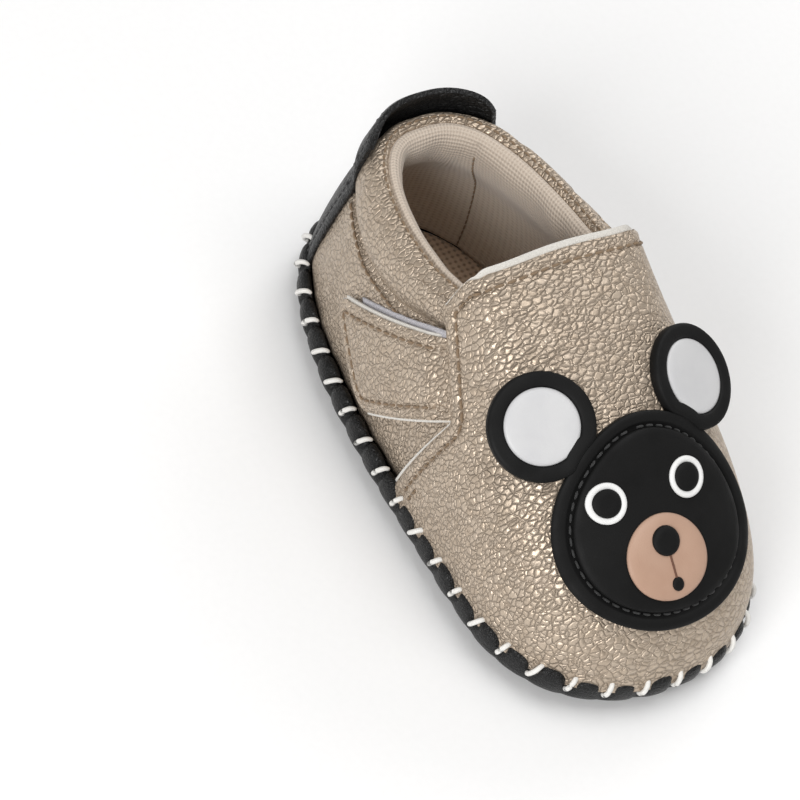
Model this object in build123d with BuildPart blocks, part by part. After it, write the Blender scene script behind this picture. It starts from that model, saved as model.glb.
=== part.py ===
from build123d import *
import math
import os

os.makedirs("parts", exist_ok=True)

# Baby bootie. Millimetres: +X toe, +Y wearer's left, +Z up. The sole rests on z = 0.

# Driving dimensions of the sole
sole_half_length = 62.3
sole_half_width = 31.2
widest_x = 32.0
heel_exponent = 2.75
toe_exponent = 2.15
rim_top = 9.5
sole_thickness = 1.8
rim_thickness = 1.7

# Layers of the upper, as distances out from the quarter leather's outer face
quarter_leather = (-1.0, 0.0)
quarter_padding = (-2.8, -1.6)
stiffener_layer = (-1.5, -1.1)
collar_cover_layer = (-1.0, 0.0)
collar_foam_layer = (-5.4, -1.1)
collar_lining_layer = (-6.4, -5.5)
patch_layer = (0.1, 1.2)
tab_layer = (0.4, 1.6)
loop_layer = (0.02, 0.5)
hook_layer = (0.8, 1.35)
lining_layer = (0.3, 0.7)
foam_layer = (0.75, 1.35)
vamp_lining_layer = (0.3, 1.35)
leather_layer = (1.4, 2.4)
bear_base_layer = (2.5, 4.1)
bear_face_layer = (4.15, 4.9)
bear_trim_layer = (4.95, 5.4)

upper_bottom = 9.6
lining_bottom = 6.6
hinge_x = 8.0
hinge_gap = 0.15
reach = 80.0
stitch_count = 42
thread_radius = 0.55

# Level cuts through the foot's outline: height, heel end, toe end, half width,
# place of the widest point, heel exponent, toe exponent
levels = [
    (6.0, -60.0, 59.4, 27.6, 32.0, 2.75, 2.15),
    (14.0, -59.5, 57.6, 27.8, 27.0, 2.7, 2.3),
    (24.0, -58.2, 49.6, 26.6, 15.0, 2.6, 2.4),
    (34.0, -56.2, 35.5, 23.8, 3.0, 2.6, 2.4),
    (44.0, -54.2, 20.0, 20.4, -8.0, 2.6, 2.5),
    (51.0, -52.8, 5.5, 17.9, -16.0, 2.6, 2.8),
    (55.5, -52.0, -6.5, 16.2, -22.0, 2.6, 3.0),
]
points_per_level = 20


def outline(heel, toe, half_width, wide_x, heel_power, toe_power):
    """Points of a closed egg: a superellipse quarter for each of its four corners."""
    points = []
    for i in range(points_per_level):
        angle = 2 * math.pi * i / points_per_level
        c = math.cos(angle)
        s = math.sin(angle)
        power = toe_power if c >= 0 else heel_power
        run = toe - wide_x if c >= 0 else wide_x - heel
        x = wide_x + math.copysign(run * abs(c) ** (2 / power), c)
        y = math.copysign(half_width * abs(s) ** (2 / power), s)
        points.append((x, y))
    return points


def foot_form(offset):
    """The upper's outer form moved out by an offset: a loft through the level cuts."""
    with BuildPart() as form:
        for z, heel, toe, half_width, wide_x, heel_power, toe_power in levels:
            rise = offset * (z - levels[0][0]) / (levels[-1][0] - levels[0][0])
            with BuildSketch(Plane.XY.offset(z + rise)):
                with BuildLine():
                    egg = outline(
                        heel - offset, toe + offset, half_width + offset, wide_x, heel_power, toe_power
                    )
                    Spline(*egg, periodic=True)
                make_face()
        loft()
    return form.part


def sole_form(cuts):
    """A loft through the sole's outline, one (height, inset) pair for each cut."""
    with BuildPart() as form:
        for z, inset in cuts:
            with BuildSketch(Plane.XY.offset(z)):
                with BuildLine():
                    egg = outline(
                        inset - sole_half_length,
                        sole_half_length - inset,
                        sole_half_width - inset,
                        widest_x,
                        heel_exponent,
                        toe_exponent,
                    )
                    Spline(*egg, periodic=True)
                make_face()
        loft()
    return form.part


def side_prism(corners, low_y, high_y, corner_radius=0.0):
    """A block with a side-view outline of (x, z) corners, reaching from low_y to high_y."""
    with BuildPart() as prism:
        with BuildSketch(Plane.XZ.offset(-high_y)):
            with BuildLine():
                Polyline(*corners, close=True)
            make_face()
            if corner_radius:
                rear = vertices().group_by(Axis.X)[0] + vertices().group_by(Axis.X)[1]
                fillet(rear, corner_radius)
        extrude(amount=high_y - low_y)
    return prism.part


forms = {}


def shell(layer, block):
    """The part of one layer of the upper that lies inside a block."""
    for offset in layer:
        if offset not in forms:
            forms[offset] = foot_form(offset)
    with BuildPart() as piece:
        add(forms[layer[1]])
        add(forms[layer[0]], mode=Mode.SUBTRACT)
        add(block, mode=Mode.INTERSECT)
    return piece.part


def finish(piece, name):
    """Labels a finished piece and writes it."""
    piece.label = name
    export_step(piece, f"parts/{name}.step")


# Side-view outlines of the upper's pieces, as (x, z) corners
collar_seam = [(-70, 34.4), (-47, 34.2), (-33, 32.6), (-20, 35.5), (-9, 42.5), (1, 45.5)]
collar_top = [(-2, 51), (-9, 48.6), (-18, 46.4), (-30, 45.1), (-42, 45.2), (-70, 46)]
quarter_front = [(19, 25), (14, upper_bottom)]
quarter_side = [(-70, upper_bottom)] + collar_seam + quarter_front
lining_side = [(-70, lining_bottom)] + collar_seam + [(19, 25), (14, lining_bottom)]
collar_side = collar_seam + collar_top
patch_side = [(-70, upper_bottom), (-50.6, upper_bottom), (-47.2, 34.3), (-70, 34.3)]
tab_side = [(-70, 34.9), (-47.2, 34.9), (-47.4, 43.5), (-48.6, 48.6), (-50.4, 51), (-70, 51)]
stiffener_side = [(-70, lining_bottom), (-34, lining_bottom), (-40, 33), (-70, 33)]
vamp_side = [(3, upper_bottom), (80, upper_bottom), (80, 70), (hinge_x + hinge_gap, 70)]
vamp_side += [(hinge_x + hinge_gap, 31.9), (7.6, 31.6)]
tongue_side = [(hinge_x - hinge_gap, 70), (-8.2, 70), (-8.6, 53), (-9.0, 45.5), (7.4, 32.2)]
tongue_side += [(hinge_x - hinge_gap, 32.2)]
strap_side = [(-5.2, 41.2), (5.9, 32.3), (-11.5, 13.6), (-30.5, 25.2)]
hook_side = [(-9.0, 38.4), (2.6, 29.0), (-12.2, 14.9), (-29.0, 25.2)]
loop_side = [(-8.0, 35.0), (0.0, 28.0), (-12.6, 16.6), (-26.0, 25.6)]

# Outsole: a soft leather pan with a flat bottom and a turned-up rim
with BuildPart() as outsole:
    add(sole_form([(0, 7.0), (1.6, 2.6), (4.5, 0.4), (7.2, 0.0), (rim_top, 0.5)]))
    hollow = [(sole_thickness, 6.4), (4.6, rim_thickness + 0.6), (rim_top + 1, rim_thickness)]
    add(sole_form(hollow), mode=Mode.SUBTRACT)
finish(outsole.part, "outsole")

# Insole board and cushioned footbed, stacked inside the pan
board_top = sole_thickness + 1.3
footbed_top = 6.3
finish(sole_form([(sole_thickness + 0.1, 6.9), (board_top, 6.3)]), "insole_board")
finish(sole_form([(board_top + 0.1, 6.2), (footbed_top, 4.6)]), "footbed")

# Whip stitches that tie the turned-up rim to the upper, evenly spaced round the sole
stitch_low = 4.6
stitch_high = 10.7
low_reach = 0.95
high_reach = 0.15
slant = 1.4


def rim_points(outside, count):
    """Points at equal distances round the rim, a little outside it, with the tangents."""
    egg = outline(
        -sole_half_length - outside,
        sole_half_length + outside,
        sole_half_width + outside,
        widest_x,
        heel_exponent,
        toe_exponent,
    )
    loop = Spline(*egg, periodic=True)
    found = []
    for i in range(count):
        place = (i + 0.5) / count
        found.append((loop @ place, loop % place))
    return found


stitches = []
for low, high in zip(rim_points(low_reach, stitch_count), rim_points(high_reach, stitch_count)):
    start = low[0] - low[1] * slant / 2 + Vector(0, 0, stitch_low)
    end = high[0] + high[1] * slant / 2 + Vector(0, 0, stitch_high)
    direction = (end - start).normalized()
    with BuildPart() as stitch:
        with BuildSketch(Plane(origin=start, z_dir=direction)):
            Circle(thread_radius)
        extrude(amount=(end - start).length)
        fillet(edges().filter_by(GeomType.CIRCLE), thread_radius * 0.8)
    stitches.append(stitch.part)
finish(Compound(children=stitches), "whip_stitches")

# Quarters with their linings, collar foam and straps, split at the back seam
seam_gap = 0.1
for side, low_y, high_y in (("left", seam_gap, reach), ("right", -reach, -seam_gap)):
    finish(shell(quarter_leather, side_prism(quarter_side, low_y, high_y)), f"quarter_{side}")
    finish(shell(quarter_padding, side_prism(lining_side, low_y, high_y)), f"quarter_lining_{side}")
    finish(shell(collar_foam_layer, side_prism(collar_side, low_y, high_y)), f"collar_foam_{side}")
    finish(shell(loop_layer, side_prism(loop_side, low_y, high_y, 2.0)), f"loop_patch_{side}")
    finish(shell(hook_layer, side_prism(hook_side, low_y, high_y, 3.0)), f"strap_hook_{side}")
    finish(shell(leather_layer, side_prism(strap_side, low_y, high_y, 4.0)), f"strap_{side}")

# Stiffener cup inside the heel
stiffener_block = side_prism(stiffener_side, -reach, reach)
finish(shell(stiffener_layer, stiffener_block), "heel_stiffener")

# Padded collar: a leather cover and a mesh lining round the ankle, over foam in two halves
collar_block = side_prism(collar_side, -reach, reach)
finish(shell(collar_cover_layer, collar_block), "collar_cover")
finish(shell(collar_lining_layer, collar_block), "collar_lining")

# Heel patch below the collar seam, and the pull tab above it
finish(shell(patch_layer, side_prism(patch_side, -reach, reach)), "heel_patch")
finish(shell(tab_layer, side_prism(tab_side, -reach, reach)), "heel_tab")

# Vamp and its lining, and the tongue flap that is their free rear end
vamp_block = side_prism(vamp_side, -reach, reach)
finish(shell(leather_layer, vamp_block), "vamp")
finish(shell(vamp_lining_layer, vamp_block), "vamp_lining")
tongue_block = side_prism(tongue_side, -reach, reach)
finish(shell(leather_layer, tongue_block), "tongue_leather")
finish(shell(foam_layer, tongue_block), "tongue_foam")
finish(shell(lining_layer, tongue_block), "tongue_lining")

# Bear applique: rubber pieces cut normal to the vamp's slope and bent over it
face_centre = (40.0, 0.0, 31.5)
face_tilt = 38.0
face_width = 39.0
face_height = 42.0
applique_depth = 40.0
applique_plane = Plane(
    origin=face_centre,
    x_dir=(0, 1, 0),
    z_dir=(math.sin(math.radians(face_tilt)), 0, math.cos(math.radians(face_tilt))),
)


def applique(layer, shapes, holes=()):
    """A rubber piece of the applique: ellipses (across, up, half width, half height) cut from a layer."""
    with BuildPart() as cutter:
        with BuildSketch(applique_plane.offset(-applique_depth / 4)):
            for across, up, half_width, half_height in shapes:
                with Locations((across, up)):
                    Ellipse(half_width, half_height)
            for across, up, half_width, half_height in holes:
                with Locations((across, up)):
                    Ellipse(half_width, half_height, mode=Mode.SUBTRACT)
        extrude(amount=applique_depth)
    return shell(layer, cutter.part)


face_oval = (0, 0, face_width / 2, face_height / 2)
inner_oval = (0, 0, face_width / 2 - 2.6, face_height / 2 - 2.6)
eye_across = 9.3
eye_up = 5.6
snout_down = -7.0
finish(applique(bear_base_layer, [face_oval]), "bear_base")
eye_hole = [(s * eye_across, eye_up, 4.3, 4.3) for s in (-1, 1)]
snout_oval = (0, snout_down, 8.9, 9.1)
finish(applique(bear_face_layer, [inner_oval], eye_hole + [(0, snout_down, 9.0, 9.2)]), "bear_face")
finish(applique(bear_face_layer, [snout_oval]), "bear_snout")
finish(applique(bear_trim_layer, [(0, snout_down + 3.2, 3.0, 3.15)]), "bear_nose")
finish(applique(bear_trim_layer, [(0, snout_down - 5.4, 1.3, 1.3)]), "bear_mouth")
for side, across in (("left", eye_across), ("right", -eye_across)):
    ring = applique(bear_face_layer, [(across, eye_up, 4.2, 4.2)], [(across, eye_up, 3.1, 3.1)])
    finish(ring, f"bear_eye_ring_{side}")
    finish(applique(bear_face_layer, [(across, eye_up, 3.0, 3.0)]), f"bear_pupil_{side}")

# Ears: flat rubber discs on the vamp, clipped by the face, each with a white insert
ear_centre = (20.6, 17.3, 43.6)
ear_radius = 10.4
insert_radius = 7.6
ear_thickness = 1.8
insert_height = 0.35
ear_normal = (0.47, 0.30, 0.83)
clip_margin = 0.4
with BuildPart() as face_clip:
    with BuildSketch(applique_plane.offset(-applique_depth / 2)):
        Ellipse(face_width / 2 + clip_margin, face_height / 2 + clip_margin)
    extrude(amount=applique_depth)
for side, sign in (("left", 1), ("right", -1)):
    ear_plane = Plane(
        origin=(ear_centre[0], sign * ear_centre[1], ear_centre[2]),
        x_dir=(0, 1, 0),
        z_dir=(ear_normal[0], sign * ear_normal[1], ear_normal[2]),
    )
    with BuildPart() as ear:
        with BuildSketch(ear_plane):
            Circle(ear_radius)
        extrude(amount=ear_thickness)
        with BuildSketch(ear_plane.offset(ear_thickness - insert_height)):
            Circle(insert_radius + 0.05)
        extrude(amount=ear_thickness, mode=Mode.SUBTRACT)
        add(face_clip.part, mode=Mode.SUBTRACT)
    finish(ear.part, f"bear_ear_{side}")
    with BuildPart() as insert:
        with BuildSketch(ear_plane.offset(ear_thickness - insert_height)):
            Circle(insert_radius)
        extrude(amount=insert_height + 0.1)
        add(face_clip.part, mode=Mode.SUBTRACT)
    finish(insert.part, f"bear_ear_insert_{side}")
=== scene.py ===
import math

import bpy
import numpy as np
from mathutils import Matrix, Vector


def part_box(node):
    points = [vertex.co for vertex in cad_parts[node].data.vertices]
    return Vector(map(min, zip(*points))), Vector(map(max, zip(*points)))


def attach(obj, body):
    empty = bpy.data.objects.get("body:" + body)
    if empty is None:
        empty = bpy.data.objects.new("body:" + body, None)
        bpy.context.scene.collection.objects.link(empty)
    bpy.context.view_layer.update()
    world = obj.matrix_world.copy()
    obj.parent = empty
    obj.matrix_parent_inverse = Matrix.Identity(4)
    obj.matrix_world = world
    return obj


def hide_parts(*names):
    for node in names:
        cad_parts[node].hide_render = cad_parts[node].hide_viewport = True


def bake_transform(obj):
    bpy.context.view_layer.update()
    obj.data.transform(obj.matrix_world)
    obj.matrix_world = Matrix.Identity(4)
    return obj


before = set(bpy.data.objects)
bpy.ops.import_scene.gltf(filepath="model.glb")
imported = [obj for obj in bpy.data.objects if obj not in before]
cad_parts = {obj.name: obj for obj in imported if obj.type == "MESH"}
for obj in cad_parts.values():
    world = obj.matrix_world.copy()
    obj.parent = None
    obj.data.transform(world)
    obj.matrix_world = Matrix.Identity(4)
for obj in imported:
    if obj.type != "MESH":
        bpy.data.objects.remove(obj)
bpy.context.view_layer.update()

# ---------------------------------------------------------------- outsole
# The sole is a pan of soft black leather, cut flat and turned up round the foot. The whip
# stitches pull its rim in, so that it puffs out between them like the links of a chain.

# Lengths in this file are in millimetres, and make_mesh turns them into metres.
MM = 0.001
stitch_count = 42
sole_low, sole_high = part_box("outsole")
sole_half_length = (sole_high.x - sole_low.x) / 2 / MM
sole_half_width = (sole_high.y - sole_low.y) / 2 / MM
sole_widest_x = 32.0
sole_powers = (2.75, 2.15)
rim_puff = 0.9
rim_pinch = 0.9
steps_per_stitch = 14


def egg(theta, heel, toe, half_width, wide_x, heel_power, toe_power):
    """x and y on a closed egg made of superellipse quarters; theta 0 is the toe, pi the heel."""
    c = np.cos(theta)
    s = np.sin(theta)
    power = np.where(c >= 0, toe_power, heel_power)
    run = np.where(c >= 0, toe - wide_x, wide_x - heel)
    x = wide_x + run * np.sign(c) * np.abs(c) ** (2 / power)
    y = half_width * np.sign(s) * np.abs(s) ** (2 / power)
    return x, y


def distance_along(line):
    """The distance from a polyline's first point to each of its points."""
    return np.concatenate([[0], np.cumsum(np.linalg.norm(np.diff(line, axis=0), axis=1))])


def sole_ring(inset, count):
    """Points at equal distances round the sole's outline, moved in by an inset."""
    theta = np.linspace(0, 2 * np.pi, 4001)
    x, y = egg(
        theta,
        inset - sole_half_length,
        sole_half_length - inset,
        sole_half_width - inset,
        sole_widest_x,
        *sole_powers,
    )
    run = distance_along(np.stack([x, y], 1))
    at = np.arange(count) / count * run[-1]
    return np.stack([np.interp(at, run, x), np.interp(at, run, y)], 1)


def make_mesh(name, points, faces, material, smooth=True):
    """A linked mesh object from points in millimetres."""
    mesh = bpy.data.meshes.new(name)
    mesh.from_pydata((np.asarray(points, float) * MM).tolist(), [], faces)
    mesh.update()
    if smooth:
        mesh.polygons.foreach_set("use_smooth", [True] * len(mesh.polygons))
    mesh.materials.append(material)
    piece = bpy.data.objects.new(name, mesh)
    bpy.context.scene.collection.objects.link(piece)
    return piece


def grid_faces(rows, columns, wrap=False):
    """Quads over a grid of rows by columns; wrap joins the last row to the first."""
    last = rows if wrap else rows - 1
    faces = []
    for i in range(last):
        for j in range(columns - 1):
            a = i * columns + j
            b = (i + 1) % rows * columns + j
            faces.append((a, b, b + 1, a + 1))
    return faces


def node_group(name, inputs, outputs):
    """An empty shader node group with named sockets, and its input and output nodes."""
    group = bpy.data.node_groups.new(name, "ShaderNodeTree")
    for label, kind, value in inputs:
        socket = group.interface.new_socket(name=label, in_out="INPUT", socket_type=kind)
        if value is not None:
            socket.default_value = value
    for label, kind in outputs:
        group.interface.new_socket(name=label, in_out="OUTPUT", socket_type=kind)
    return group, group.nodes.new("NodeGroupInput"), group.nodes.new("NodeGroupOutput")


def math_node(tree, operation, a, b=None, c=None):
    """A math node; each of a, b and c is a socket or a number."""
    node = tree.nodes.new("ShaderNodeMath")
    node.operation = operation
    for i, value in enumerate((a, b, c)):
        if value is None:
            continue
        if isinstance(value, (int, float)):
            node.inputs[i].default_value = value
        else:
            tree.links.new(value, node.inputs[i])
    return node.outputs[0]


def noise_node(tree, vector, size, detail=2.0, roughness=0.5):
    """A noise texture whose features are about size millimetres across."""
    node = tree.nodes.new("ShaderNodeTexNoise")
    node.inputs["Scale"].default_value = 1 / (size * MM)
    node.inputs["Detail"].default_value = detail
    node.inputs["Roughness"].default_value = roughness
    tree.links.new(vector, node.inputs["Vector"])
    return node.outputs["Fac"]


def ramp_node(tree, value, low, high, to_low=0.0, to_high=1.0):
    """A smooth map of a value from one range to another."""
    node = tree.nodes.new("ShaderNodeMapRange")
    node.interpolation_type = "SMOOTHSTEP"
    node.inputs["From Min"].default_value = low
    node.inputs["From Max"].default_value = high
    node.inputs["To Min"].default_value = to_low
    node.inputs["To Max"].default_value = to_high
    tree.links.new(value, node.inputs["Value"])
    return node.outputs["Result"]


def mix_node(tree, factor, a, b):
    """A colour mix by a factor's socket; a and b are sockets or colours."""
    node = tree.nodes.new("ShaderNodeMix")
    node.data_type = "RGBA"
    tree.links.new(factor, node.inputs[0])
    for socket, value in ((node.inputs[6], a), (node.inputs[7], b)):
        if isinstance(value, tuple):
            socket.default_value = (*value, 1.0)
        else:
            tree.links.new(value, socket)
    return node.outputs[2]


def pebble_group():
    """Embossed leather grain: cells with sunk creases, fine wrinkles, a tint per cell and a mask for
    painted crease shade.
    """
    inputs = [("Cell Size", "NodeSocketFloat", 1.2), ("Stretch", "NodeSocketVector", (1.0, 1.0, 1.0))]
    outputs = [("Height", "NodeSocketFloat"), ("Crease Shade", "NodeSocketFloat"), ("Tint", "NodeSocketFloat")]
    group, enter, leave = node_group("pebble_grain", inputs, outputs)
    coordinates = group.nodes.new("ShaderNodeTexCoord")
    scaled = group.nodes.new("ShaderNodeVectorMath")
    scaled.operation = "MULTIPLY"
    group.links.new(coordinates.outputs["Object"], scaled.inputs[0])
    group.links.new(enter.outputs["Stretch"], scaled.inputs[1])
    warp = group.nodes.new("ShaderNodeTexNoise")
    warp.inputs["Scale"].default_value = 800
    warp.inputs["Detail"].default_value = 1
    group.links.new(scaled.outputs[0], warp.inputs["Vector"])
    shift = group.nodes.new("ShaderNodeVectorMath")
    shift.operation = "MULTIPLY_ADD"
    shift.inputs[1].default_value = (0.0009, 0.0009, 0.0009)
    group.links.new(warp.outputs["Color"], shift.inputs[0])
    group.links.new(scaled.outputs[0], shift.inputs[2])
    frequency = math_node(group, "DIVIDE", 1 / MM, enter.outputs["Cell Size"])
    edge = group.nodes.new("ShaderNodeTexVoronoi")
    edge.feature = "DISTANCE_TO_EDGE"
    cell = group.nodes.new("ShaderNodeTexVoronoi")
    for texture in (edge, cell):
        group.links.new(shift.outputs[0], texture.inputs["Vector"])
        group.links.new(frequency, texture.inputs["Scale"])
    width = noise_node(group, scaled.outputs[0], 2.5)
    narrowing = math_node(group, "MULTIPLY_ADD", width, -2.4, 2.6)
    reach = math_node(group, "MULTIPLY", edge.outputs["Distance"], narrowing)
    # The crease mask: the leather uses it to paint shade into the creases.
    crease_shade = ramp_node(group, reach, 0.0, 0.13, 1.0, 0.0)
    flank = math_node(group, "MINIMUM", math_node(group, "MULTIPLY", reach, 1.9), 1.0)
    rest = math_node(group, "SUBTRACT", 1.0, flank)
    dome = math_node(group, "SUBTRACT", 1.0, math_node(group, "POWER", rest, 2.4))
    wrinkle = noise_node(group, scaled.outputs[0], 0.55, 2.0, 0.5)
    height = math_node(group, "MULTIPLY_ADD", wrinkle, 0.16, dome)
    split = group.nodes.new("ShaderNodeSeparateColor")
    group.links.new(cell.outputs["Color"], split.inputs[0])
    group.links.new(height, leave.inputs["Height"])
    group.links.new(crease_shade, leave.inputs["Crease Shade"])
    group.links.new(split.outputs[0], leave.inputs["Tint"])
    return group


pebble_grain = pebble_group()


def new_material(name, roughness, metallic=0.0, specular=0.5, sheen=0.0):
    """A material with its Principled shader; uniform numbers are set on the shader itself."""
    material = bpy.data.materials.new(name)
    material.use_nodes = True
    shader = material.node_tree.nodes["Principled BSDF"]
    shader.inputs["Roughness"].default_value = roughness
    shader.inputs["Metallic"].default_value = metallic
    shader.inputs["Specular IOR Level"].default_value = specular
    shader.inputs["Sheen Weight"].default_value = sheen
    return material, material.node_tree, shader


def bump(tree, shader, height, distance, strength=1.0):
    """Feeds a height through a bump node to the shader; distance is in millimetres."""
    node = tree.nodes.new("ShaderNodeBump")
    node.inputs["Distance"].default_value = distance * MM
    node.inputs["Strength"].default_value = strength
    tree.links.new(height, node.inputs["Height"])
    tree.links.new(node.outputs[0], shader.inputs["Normal"])


def leather_material(name, base, dark, light, cell_size, depth, roughness, metallic, stretch=(1, 1, 1)):
    """Embossed leather: painted shade in the creases, painted glints as fine light specks, a tint per cell
    and fine gloss changes.
    """
    material, tree, shader = new_material(name, roughness[0], metallic, specular=0.5 if metallic else 0.32)
    grain = tree.nodes.new("ShaderNodeGroup")
    grain.node_tree = pebble_grain
    grain.inputs["Cell Size"].default_value = cell_size
    grain.inputs["Stretch"].default_value = stretch
    coordinates = tree.nodes.new("ShaderNodeTexCoord").outputs["Object"]
    cloud = noise_node(tree, coordinates, 9.0)
    fleck = noise_node(tree, coordinates, 0.22, 1.0)
    tinted = mix_node(tree, math_node(tree, "MULTIPLY", grain.outputs["Tint"], 0.16), base, light)
    mottled = mix_node(tree, ramp_node(tree, cloud, 0.35, 0.75, 0.0, 0.10), tinted, dark)
    # Painted glints: fine light specks mixed into the colour stand in for sparkle.
    glint_painted = mix_node(tree, ramp_node(tree, fleck, 0.60, 0.74, 0.0, 0.22), mottled, light)
    # Painted shade: the creases are mixed towards the dark colour.
    crease_shaded = mix_node(tree, math_node(tree, "MULTIPLY", grain.outputs["Crease Shade"], 0.42), glint_painted, dark)
    tree.links.new(crease_shaded, shader.inputs["Base Color"])
    gloss = ramp_node(tree, fleck, 0.3, 0.7, roughness[0], roughness[1])
    tree.links.new(gloss, shader.inputs["Roughness"])
    bump(tree, shader, grain.outputs["Height"], depth)
    return material


sole_black = leather_material(
    "sole_black", (0.006, 0.006, 0.006), (0.002, 0.002, 0.002), (0.016, 0.016, 0.016),
    0.7, 0.10, (0.44, 0.34), 0.0,
)


def rim_phase(count):
    """How near each point of the rim is to a stitch, from 0 between stitches to 1 at one."""
    place = np.arange(count) / count * stitch_count
    off = np.abs(place - np.round(place))
    return np.exp(-((off / 0.16) ** 2)), place


def build_outsole():
    count = stitch_count * steps_per_stitch
    pinch, place = rim_phase(count)
    rng = np.random.default_rng(7)
    puff = rng.uniform(0.55, 1.3, stitch_count + 1)[np.floor(place).astype(int)]
    lean = rng.uniform(-0.5, 0.5, stitch_count + 1)[np.floor(place).astype(int)]
    bulge = np.sin(np.pi * (place % 1)) ** 0.7 * puff * (1 + lean * (place % 1 - 0.5))
    # Profile of the pan as (inset, height, share of the puff, share of the lift)
    profile = [
        (26.0, 0.0, 0, 0), (18.0, 0.0, 0, 0), (10.0, 0.0, 0, 0), (7.2, 0.0, 0, 0), (5.2, 0.25, 0, 0),
        (3.6, 0.9, 0.05, 0), (2.2, 2.0, 0.15, 0), (1.2, 3.4, 0.35, 0), (0.6, 4.8, 0.6, 0),
        (0.3, 6.2, 1, 0.1), (0.25, 7.4, 1.2, 0.4), (0.5, 8.5, 1.1, 0.8), (1.1, 9.2, 0.7, 1),
        (1.9, 9.4, 0.2, 1), (2.7, 9.0, 0.0, 0.7), (3.2, 7.8, 0, 0.3), (3.2, 5.0, 0, 0), (6.0, 2.0, 0, 0),
        (14.0, 1.9, 0, 0), (24.0, 1.9, 0, 0),
    ]
    points = []
    for inset, height, out, lift in profile:
        ring = sole_ring(max(inset, 0.0), count)
        tangent = np.roll(ring, -1, 0) - np.roll(ring, 1, 0)
        tangent /= np.linalg.norm(tangent, axis=1)[:, None]
        outward = np.stack([tangent[:, 1], -tangent[:, 0]], 1)
        move = out * (rim_puff * (bulge - 1.0) - rim_pinch * pinch)
        flat = ring + outward * move[:, None]
        rise = height + lift * (0.9 * (bulge - 0.9) - 1.0 * pinch)
        points.append(np.column_stack([flat, rise]))
    points = np.stack(points, 1).reshape(-1, 3)
    columns = len(profile)
    faces = [f[::-1] for f in grid_faces(count, columns, wrap=True)]
    faces.append(tuple(range(0, count * columns, columns))[::-1])
    faces.append(tuple(range(columns - 1, count * columns, columns)))
    return make_mesh("outsole_pan", points, faces, sole_black)


outsole = build_outsole()
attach(outsole, "root")
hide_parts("outsole")


def fibre_material(name, dark, light, size, depth, roughness, specular, sheen, detail, grit):
    """Loose or twisted fibres: specks of two colours, raised by depth where they are light."""
    material, tree, shader = new_material(name, roughness, specular=specular, sheen=sheen)
    coordinates = tree.nodes.new("ShaderNodeTexCoord").outputs["Object"]
    fleck = noise_node(tree, coordinates, size, detail, grit)
    colour = mix_node(tree, fleck, dark, light)
    tree.links.new(colour, shader.inputs["Base Color"])
    if depth:
        bump(tree, shader, fleck, depth)
    return material


fibre_board = fibre_material(
    "fibre_board", (0.42, 0.34, 0.25), (0.66, 0.58, 0.46), 0.6, 0.1, 0.85, 0.5, 0.0, 3.0, 0.5
)
for hidden in ("insole_board", "heel_stiffener"):
    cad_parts[hidden].data.materials.clear()
    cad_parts[hidden].data.materials.append(fibre_board)

# ---------------------------------------------------------------- footbed
# A cushioned sock covers the board: thin foam under tan mesh, cut to the board's outline and
# glued down. The mesh shows as small raised dots.
footbed_low, footbed_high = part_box("footbed")


def pique_group():
    """A pique weave: a diamond lattice of raised dots, from the pattern map."""
    inputs = [("Pitch", "NodeSocketFloat", 1.0)]
    outputs = [("Height", "NodeSocketFloat"), ("Fuzz", "NodeSocketFloat")]
    group, enter, leave = node_group("pique_weave", inputs, outputs)
    pattern = group.nodes.new("ShaderNodeUVMap")
    pattern.uv_map = "pattern"
    split = group.nodes.new("ShaderNodeSeparateXYZ")
    group.links.new(pattern.outputs[0], split.inputs[0])
    turn = math_node(group, "DIVIDE", math.pi / MM, enter.outputs["Pitch"])
    waves = []
    for sign in (1.0, -1.0):
        across = math_node(group, "MULTIPLY_ADD", split.outputs[1], sign, split.outputs[0])
        waves.append(math_node(group, "SINE", math_node(group, "MULTIPLY", across, turn)))
    dots = math_node(group, "MULTIPLY", waves[0], waves[1])
    lifted = math_node(group, "MULTIPLY_ADD", dots, 0.5, 0.5)
    coordinates = group.nodes.new("ShaderNodeTexCoord").outputs["Object"]
    fuzz = noise_node(group, coordinates, 0.25, 2.0)
    height = math_node(group, "MULTIPLY_ADD", fuzz, 0.35, lifted)
    group.links.new(height, leave.inputs["Height"])
    group.links.new(fuzz, leave.inputs["Fuzz"])
    return group


pique_weave = pique_group()


def mesh_material(name, base, dark, pitch, depth, sheen):
    """Knitted mesh with raised dots; the holes between them are painted darker as shade."""
    material, tree, shader = new_material(name, 0.75, specular=0.3, sheen=sheen)
    weave = tree.nodes.new("ShaderNodeGroup")
    weave.node_tree = pique_weave
    weave.inputs["Pitch"].default_value = pitch
    # Painted shade: the colour goes darker where the weave is low.
    hollow_shade_mask = ramp_node(tree, weave.outputs["Height"], 0.1, 0.8, 0.0, 1.0)
    colour = mix_node(tree, hollow_shade_mask, dark, base)
    tree.links.new(colour, shader.inputs["Base Color"])
    bump(tree, shader, weave.outputs["Height"], depth)
    return material


cream_pique = mesh_material("cream_pique", (0.62, 0.53, 0.44), (0.50, 0.41, 0.33), 0.8, 0.20, 0.3)
tan_mesh = mesh_material("tan_mesh", (0.62, 0.46, 0.33), (0.30, 0.20, 0.13), 1.3, 0.3, 0.3)


def add_pattern(piece, u, v):
    """A map of the piece's surface in metres, for weaves; u and v are per vertex, in millimetres."""
    mesh = piece.data
    layer = mesh.uv_layers.new(name="pattern")
    index = np.zeros(len(mesh.loops), int)
    mesh.loops.foreach_get("vertex_index", index)
    flat = np.column_stack([np.ravel(u)[index], np.ravel(v)[index]]) * MM
    layer.data.foreach_set("uv", flat.astype(np.float32).ravel())


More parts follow.
